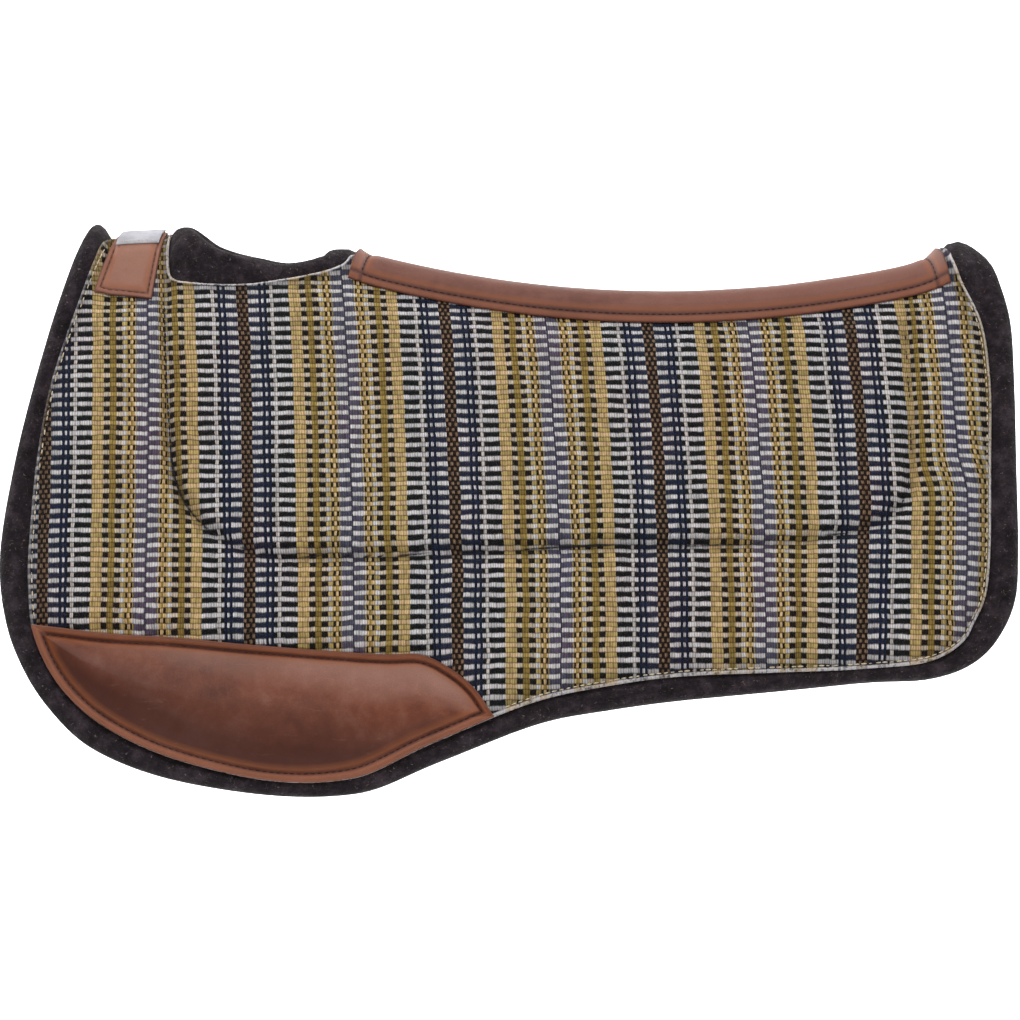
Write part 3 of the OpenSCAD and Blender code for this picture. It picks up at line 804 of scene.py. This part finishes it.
wearU = gridLines([0, 0.004, 0.01], np.linspace(0.02, 0.98, 190), [0.99, 0.996, 1])
wearV = gridLines([0, 0.008, 0.016, 0.025, 0.034, 0.043, 0.052, 0.06, 0.068, 0.078, 0.09, 0.105],
                  np.linspace(0.125, 0.875, 34),
                  [0.895, 0.91, 0.922, 0.932, 0.94, 0.948, 0.957, 0.966, 0.975, 0.984, 0.992, 1])
wearPieces = gridPieces(
    "WearLeather", len(wearU[0]) - 1, len(wearV[0]) - 1, wearPlace, wearHeights, (1, -1),
    wearU, wearV, {
        "edgeDistance": wearLines, "tone": wearTone,
        "stitchDistance": lambda p, o, u, v: np.abs(wearLines(p) - wear["margin"])})
print("wear leather made")

strap = {"half": 35.0, "margin": 6.0, "endMargin": 9.0, "crown": 1.6, "tuck": 1.3,
         "base": trimBase + 1.4, "frontGap": 16.0, "rearGap": 38.0}
strapX = (cutoutEnd + strap["frontGap"], pad["rearX"] - strap["rearGap"])


def squareX(x, s):
    # a line square to the topline moves along x as it runs down the side
    return x + np.abs(s) * (x - pad["lowestX"]) / pad["dipRadius"]


def strapPlace(u, v):
    s = strap["half"] * (2 * v - 1)
    return np.stack([squareX(strapX[0] + (strapX[1] - strapX[0]) * u, s), s], 1)


def strapLines(u, v):
    side = strap["half"] * (1 - np.abs(2 * v - 1))
    end = np.minimum(u, 1 - u) * (strapX[1] - strapX[0])
    return side, end


def strapSeam(u, v):
    side, end = strapLines(u, v)
    return np.minimum(np.abs(side - strap["margin"]), np.abs(end - strap["endMargin"]))


def strapHeights(points, outer, u, v):
    side, end = strapLines(u, v)
    edge = np.minimum(side, end)
    seam = strapSeam(u, v)
    body = np.minimum(smooth((side - strap["margin"]) / 6),
                      smooth((end - strap["endMargin"]) / 7))
    tuck = strap["tuck"] * smooth((9 - side) / 9)
    top = strap["base"] + pad["leather"] + strap["crown"] * body - tuck
    top = top - roundedEdge(edge, 0.9) - 0.8 * bell(seam / 1.2) + 0.2 * lumps(points, 40, 6)
    return np.where(outer, top, strap["base"] - tuck) + feltLift(points)


strapU = gridLines([0, 0.001, 0.003, 0.006, 0.01, 0.014, 0.017, 0.02, 0.024, 0.03],
                   np.linspace(0.04, 0.96, 130),
                   [0.97, 0.976, 0.98, 0.983, 0.986, 0.99, 0.994, 0.997, 0.999, 1])
strapV = gridLines([0, 0.008, 0.02, 0.045, 0.065, 0.078, 0.09, 0.11, 0.14],
                   np.linspace(0.18, 0.82, 33),
                   [0.86, 0.89, 0.91, 0.922, 0.935, 0.955, 0.98, 0.992, 1])
spineStrap = gridPieces("spineStrap", len(strapU[0]) - 1, len(strapV[0]) - 1, strapPlace,
                        strapHeights, (1,), strapU, strapV, {
    "edgeDistance": lambda p, o, u, v: np.minimum(*strapLines(u, v)),
    "stitchDistance": lambda p, o, u, v: strapSeam(u, v),
    # tone: painted highlight along the crown and painted shade where the strap tucks down towards
    # its stitching
    "tone": lambda p, o, u, v: 0.5 * bell(p[:, 1] / 16)
    - 0.5 * bell((np.abs(p[:, 1]) - 26) / 5)})[0]


tape = {"half": 24, "frontInset": 8, "shorter": 14, "thick": 1.0}


def tapePlace(u, v):
    s = tape["half"] * 2 * v - tape["half"]
    length = strapX[1] - strapX[0] - tape["shorter"]
    return np.stack([squareX(strapX[0] + tape["frontInset"] + length * u, s), s], 1)


joiningTape = gridPieces(
    "joiningTape", 80, 16, tapePlace,
    lambda p, outer, u, v: trimBase + tape["thick"] * outer + feltLift(p))[0]
print("spine strap made")


def patchPlace(u, v):
    return patchAt(u, 2 * v - 1)


def patchLines(points, u, v):
    side = (1 - np.abs(2 * v - 1)) * (patch["width"] + patch["slope"] * u)
    wide = np.ptp(patchAt(np.array([0.0, 1.0]), np.array([1.0, 1.0]))[:, 0])
    return side, np.minimum(u, 1 - u) * wide


def patchSeam(points, outer, u, v):
    side, end = patchLines(points, u, v)
    seam = np.minimum(np.abs(side - patch["inset"]), np.abs(end - patch["inset"]))
    return np.where(np.minimum(side, end) < patch["inset"] - 1, 9, seam)


def patchHeights(points, outer, u, v):
    side, end = patchLines(points, u, v)
    edge = np.minimum(side, end)
    seam = patchSeam(points, outer, u, v)
    body = np.minimum(smooth((side - patch["inset"]) / 6), smooth((end - patch["inset"]) / 6))
    base = feltLift(points) + trimBase
    top = base + pad["leather"] + 1.2 * body - roundedEdge(edge, 0.9) - 0.7 * bell(seam / 1.2)
    return np.where(outer, top, base)


patchU = gridLines([0, 0.01, 0.025], np.linspace(0.05, 0.95, 48), [0.975, 0.99, 1])
patchV = gridLines([0, 0.003, 0.007], np.linspace(0.014, 0.986, 120), [0.993, 0.997, 1])
frontPatch = gridPieces("frontPatch", len(patchU[0]) - 1, len(patchV[0]) - 1, patchPlace,
                        patchHeights, (1,), patchU, patchV, {
    "edgeDistance": lambda p, o, u, v: np.minimum(*patchLines(p, u, v)),
    "stitchDistance": patchSeam,
    "tone": lambda p, o, u, v: 0.5 * bell((np.abs(p[:, 1]) - 34) / 20)
    - 0.4 * smooth((8 - np.minimum(*patchLines(p, u, v))) / 4)})[0]

label = {"half": 23.0, "length": 35.0, "lean": 0.18, "lift": 1.5, "thick": 0.9}
labelMid = float(patchAt(np.array([0.0, 1.0]), np.zeros(2))[:, 0].mean())


def labelPlace(u, v):
    s = label["half"] * (2 * v - 1)
    return np.stack([labelMid + label["length"] * (u - 0.5) - label["lean"] * np.abs(s), s], 1)


def labelHeights(points, outer, u, v):
    edge = np.minimum(np.minimum(u, 1 - u) * label["length"],
                      np.minimum(v, 1 - v) * 2 * label["half"])
    base = feltLift(points) + trimBase + pad["leather"] + label["lift"]
    return np.where(outer, base + label["thick"] - roundedEdge(edge, 0.4), base)


ridgeLabel = gridPieces("ridgeLabel", 30, 44, labelPlace, labelHeights)[0]
print("front patch and label made")


def stitches(name, paths, sizes, side=1):
    # one small rounded stitch every pitch along each path of (x, s, h)
    place, turns = [], []
    for path in paths:
        points = skin(path[:, 0], side * path[:, 1], path[:, 2]) * 1000
        above = skin(path[:, 0], side * path[:, 1], path[:, 2] + 1) * 1000
        steps = np.linalg.norm(np.diff(points, axis=0), axis=1)
        start = np.concatenate([[0], np.cumsum(steps)])
        at = np.arange(sizes["pitch"] * 0.5, start[-1], sizes["pitch"])

        def on(line, a):
            return np.stack([np.interp(a, start, line[:, i]) for i in range(3)], 1)
        here = on(points, at)
        along = on(points, at + 1) - on(points, at - 1)
        along /= np.linalg.norm(along, axis=1)[:, None]
        across = np.cross(on(above, at) - here, along)
        across /= np.linalg.norm(across, axis=1)[:, None]
        place.append(here)
        turns.append(np.stack([along, across, np.cross(along, across)], 1))
    place, turns = np.concatenate(place), np.concatenate(turns)
    bm = bmesh.new()
    bmesh.ops.create_uvsphere(bm, u_segments=7, v_segments=5, radius=1.0,
                              matrix=Matrix.Rotation(math.pi / 2, 4, "Y"))
    gap, count = 4.0, 1
    while count < len(place):
        copy = bmesh.ops.duplicate(bm, geom=bm.verts[:] + bm.edges[:] + bm.faces[:])["geom"]
        bmesh.ops.translate(bm, verts=[g for g in copy if isinstance(g, bmesh.types.BMVert)],
                            vec=(gap * count, 0, 0))
        count *= 2
    spare = [v for v in bm.verts if v.co.x > gap * (len(place) - 0.5)]
    bmesh.ops.delete(bm, geom=spare, context="VERTS")
    mesh = bpy.data.meshes.new(name)
    bm.to_mesh(mesh)
    bm.free()
    co = np.empty(len(mesh.vertices) * 3)
    mesh.vertices.foreach_get("co", co)
    co = co.reshape(-1, 3)
    k = np.rint(co[:, 0] / gap).astype(int)
    co[:, 0] -= gap * k
    co = co * (sizes["length"] / 2, sizes["width"] / 2, sizes["height"] / 2)
    co = place[k] + (co[:, :, None] * turns[k]).sum(1)
    mesh.vertices.foreach_set("co", (co / 1000).ravel())
    mesh.polygons.foreach_set("use_smooth", np.ones(len(mesh.polygons), bool))
    mesh.update()
    obj = bpy.data.objects.new(name, mesh)
    bpy.context.scene.collection.objects.link(obj)
    return obj


def atHeight(points, heights, lift, u=None, v=None):
    outer = np.ones(len(points), bool)
    return np.column_stack([points, heights(points, outer, u, v) + lift])


sewing = {"pitch": 5.4, "length": 4.2, "width": 1.2, "height": 1.0}
quiltSewing = {"pitch": 5.6, "length": 4.9, "width": 1.5, "height": 1.1}
labelSewing = {"pitch": 3.4, "length": 2.4, "width": 0.7, "height": 0.6}
edgeInset, edgeSpan = 3.6, (0.9, 26.4)  # the cover's edge seam, and where it starts and ends
wearStitches, quiltStitches, edgeStitches = [], [], []
for word, side in (("left", 1), ("right", -1)):
    lines = []
    for edge, turn in ((wearTopLine, 1), (wearLowLine, -1)):
        q = np.gradient(edge, axis=0)
        q /= np.linalg.norm(q, axis=1)[:, None]
        line = edge + np.stack([-q[:, 1], q[:, 0]], 1) * wear["margin"] * turn
        line = line[np.abs(wearLines(line) - wear["margin"]) < 0.8]
        lines.append(atHeight(line, wearHeights, 0.25))
    wearStitches.append(stitches(word + "WearStitches", lines, sewing, side))
    quiltStitches.append(stitches(word + "QuiltStitches",
                                  [atHeight(quiltLine[4:-4], coverHeights, 0.1)], quiltSewing,
                                  side))
    lines = [coverRim(np.linspace(edgeSpan[0], wearSpan[0] - 0.15, 120), edgeInset),
             coverRim(np.linspace(wearSpan[1] + 0.12, edgeSpan[1], 260), edgeInset)]
    edgeStitches.append(stitches(word + "EdgeStitches",
                                 [atHeight(line, coverHeights, -0.25) for line in lines],
                                 quiltSewing, side))


def onStrap(u, v):
    return atHeight(strapPlace(u, v), strapHeights, 0.15, u, v)


sideShare = strap["margin"] / strap["half"] / 2
endShare = strap["endMargin"] / (strapX[1] - strapX[0])
run, cross = np.linspace(endShare, 1 - endShare, 120), np.linspace(sideShare, 1 - sideShare, 40)
strapStitches = stitches("spineStitches", [
    onStrap(run, np.full(120, sideShare)), onStrap(run, np.full(120, 1 - sideShare)),
    onStrap(np.full(40, endShare), cross), onStrap(np.full(40, 1 - endShare), cross)], sewing)

patchWide = -np.subtract(*patchAt(np.array([0.0, 1.0]), np.ones(2))[:, 0])
sideShare = patch["inset"] / 2 / (patch["width"] + patch["slope"] / 2)
endShare = patch["inset"] / patchWide
patchPaths = []
for flip in (False, True):
    down = np.linspace(sideShare, 0.29, 30)
    acrossU = np.linspace(endShare, 1 - endShare, 16)
    for u, v in ((np.full(30, endShare), down), (np.full(30, 1 - endShare), down),
                 (acrossU, np.full(16, sideShare))):
        v = 1 - v if flip else v
        patchPaths.append(atHeight(patchPlace(u, v), patchHeights, 0.15, u, v))
patchStitches = stitches("patchStitches", patchPaths, sewing)
labelRun = np.linspace(0.1, 0.9, 20)
labelStitches = stitches("labelStitches", [
    atHeight(labelPlace(labelRun, np.full(20, v)), labelHeights, 0.1, labelRun, np.full(20, v))
    for v in (0.05, 0.95)], labelSewing)
print("stitches made")

# which pieces of the part each piece stands for and hides, and what it is made of; the wear leather
# and its stitches move with their half
halves = ("left", "right")
for pieces, nodes, material, slot in (
        (feltPieces, ["{}_felt"], felt, "wool_felt"),
        (coverPieces, ["{}_cover"], woven, "woven_cover"),
        (wearPieces, ["{}_wear_leather", "{}_wear_padding"], wearHide, "wear_leather"),
        (wearStitches, ["{}_wear_stitching"], darkThread, "dark_thread"),
        (quiltStitches, ["{}_quilting"], quiltThread, "dark_thread"),
        (edgeStitches, ["{}_edge_stitching"], creamThread, "light_thread"),
        ([spineStrap], ["spine_strap"], strapHide, "spine_leather"),
        ([joiningTape], ["spine_joining_tape"], tapeCloth, "tape"),
        ([strapStitches], ["spine_stitching"], darkThread, "dark_thread"),
        ([frontPatch], ["front_patch"], patchHide, "spine_leather"),
        ([patchStitches], ["front_patch_stitching"], patchThread, "dark_thread"),
        ([ridgeLabel], ["plain_label"], labelCloth, "label_cloth"),
        ([labelStitches], ["label_stitching"], creamThread, "light_thread")):
    for piece, word in zip(pieces, halves):
        piece.data.materials.append(material)
        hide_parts(*(node.format(word) for node in nodes))
        if pieces is wearPieces or pieces is wearStitches:
            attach(piece, word + "_half")
        else:
            bend(piece)

# floor, light and camera
studio = {"aim": (-0.125, -0.09, -0.145), "distance": 3.2, "elevation": 5.0, "lens": 141.2,
          "floorDrop": 0.25, "floorSize": 9.0, "wallStart": 4.0, "wallRadius": 1.6}
wallStart, wallRadius = studio["wallStart"], studio["wallRadius"]
scene = bpy.context.scene
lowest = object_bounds()[0][2]
bm = bmesh.new()
bmesh.ops.create_grid(bm, x_segments=2, y_segments=70, size=studio["floorSize"])
for v in bm.verts:
    # flat up to the foot of the wall, then round into it
    back = max(0.0, v.co.y - wallStart)
    turn = min(back / wallRadius, math.pi / 2)
    rest = max(0.0, back - wallRadius * math.pi / 2)
    v.co = (v.co.x, min(v.co.y, wallStart) + wallRadius * math.sin(turn),
            wallRadius * (1 - math.cos(turn)) + rest + lowest - studio["floorDrop"])
mesh = bpy.data.meshes.new("floor")
bm.to_mesh(mesh)
bm.free()
mesh.polygons.foreach_set("use_smooth", np.ones(len(mesh.polygons), bool))
floor = bpy.data.objects.new("floor", mesh)
scene.collection.objects.link(floor)
paper = Nodes("paper")
paper.shader.inputs["Base Color"].default_value = (0.92, 0.92, 0.92, 1)
paper.shader.inputs["Roughness"].default_value = 0.9
mesh.materials.append(paper.material)

world = bpy.data.worlds.new("studioSky")
scene.world = world
world.use_nodes = True
world.node_tree.nodes["Background"].inputs["Color"].default_value = (1, 1, 1, 1)
world.node_tree.nodes["Background"].inputs["Strength"].default_value = 0.34


def softbox(name, place, aim, size, power):
    lamp = bpy.data.lights.new(name, "AREA")
    lamp.shape, lamp.size, lamp.size_y, lamp.energy = "RECTANGLE", size[0], size[1], power
    obj = bpy.data.objects.new(name, lamp)
    obj.location = place
    obj.rotation_euler = (Vector(aim) - Vector(place)).to_track_quat("-Z", "Y").to_euler()
    scene.collection.objects.link(obj)


softbox("keyLight", (-0.7, -1.9, 2.3), (-0.1, 0, -0.2), (1.6, 1.0), 70)
softbox("fillLight", (1.9, -2.4, 0.5), (0, 0, -0.15), (1.6, 1.6), 10)
for x in (-2.0, 2.0):
    softbox("backdropLight", (x, 1.0, 2.2), (x * 0.3, 3.6, -0.4), (1.6, 1.0), 115)
    softbox("wallLight", (x * 1.4, 2.4, 2.4), (x * 0.3, 5.8, 0.4), (1.6, 1.0), 215)

camera = bpy.data.cameras.new("camera")
camera.lens, camera.sensor_width = studio["lens"], 36
camera.clip_end = 50
cameraObject = bpy.data.objects.new("camera", camera)
tilt = math.radians(studio["elevation"])
aim = Vector(studio["aim"])
cameraObject.location = aim + studio["distance"] * Vector((0, -math.cos(tilt), math.sin(tilt)))
cameraObject.rotation_euler = (math.pi / 2 - tilt, 0, 0)
scene.collection.objects.link(cameraObject)
scene.camera = cameraObject
scene.view_settings.view_transform = "Standard"
